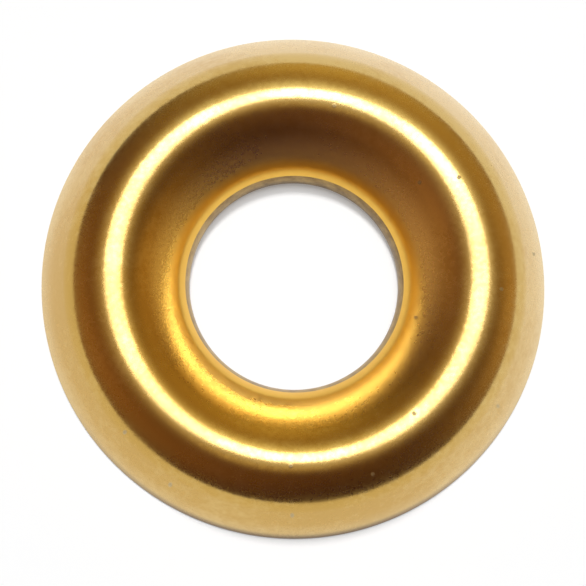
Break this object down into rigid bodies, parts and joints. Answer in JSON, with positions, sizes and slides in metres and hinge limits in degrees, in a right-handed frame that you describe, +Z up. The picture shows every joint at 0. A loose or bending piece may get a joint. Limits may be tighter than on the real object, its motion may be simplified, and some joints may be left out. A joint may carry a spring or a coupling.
{
  "type": "finishing cup washer",
  "caption": "Round brass cup washer pressed from thin sheet: a rolled crest, a flared skirt that rests on the work and a funnel seat for a countersunk screw head around a plain hole.",
  "frame": {"origin": "centre of the base, on the washer's axis", "axes": "+Z up along the axis, out of the mouth of the seat"},
  "size_m": [0.0142, 0.0142, 0.0022],
  "materials": {
    "brass": "satin"
  },
  "bodies": {
    "root": {"cup_washer": "brass"}
  },
  "joints": []
}
